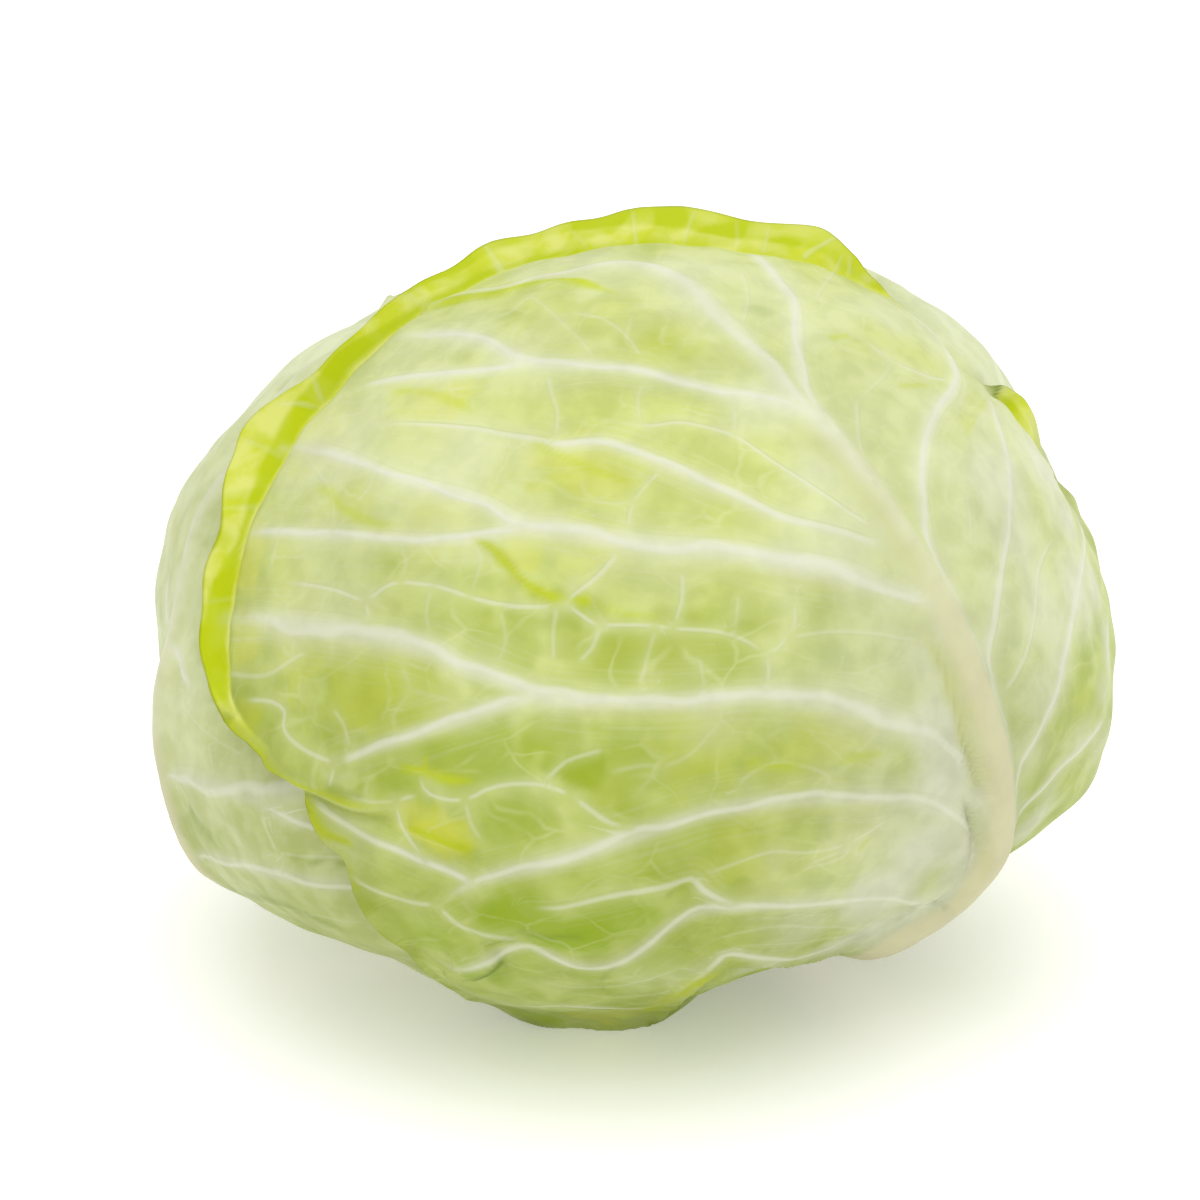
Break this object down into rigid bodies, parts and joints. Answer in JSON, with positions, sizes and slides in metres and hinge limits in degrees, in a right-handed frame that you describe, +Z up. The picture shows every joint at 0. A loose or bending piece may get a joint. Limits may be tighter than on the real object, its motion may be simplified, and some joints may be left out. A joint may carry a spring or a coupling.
{
  "type": "green cabbage",
  "caption": "Round green cabbage head as picked, slightly flattened, wrapped in broad ribbed outer leaves with standing margins, on its short cut stem.",
  "frame": {"origin": "on the surface that the head rests on, straight under the head's centre", "axes": "+Z up, -Y towards the side that the outermost leaf covers, +X towards the side where that leaf's midrib leaves the stem"},
  "size_m": [0.1953, 0.1956, 0.1555],
  "materials": {
    "outer_leaf": "waxy fresh leaf, yellow-green with pale ribs",
    "side_leaf": "waxy fresh leaf, pale green with whitish ribs",
    "under_leaf": "waxy fresh leaf, deeper green",
    "heart": "pale tightly folded leaf",
    "stem": "cut stem, moist and fibrous"
  },
  "bodies": {
    "root": {"stem": "stem", "heart": "heart", "front_leaf": "outer_leaf", "left_leaf": "side_leaf", "right_back_leaf": "side_leaf", "under_leaf": "under_leaf", "left_back_leaf": "side_leaf", "right_under_leaf": "under_leaf"}
  },
  "joints": []
}
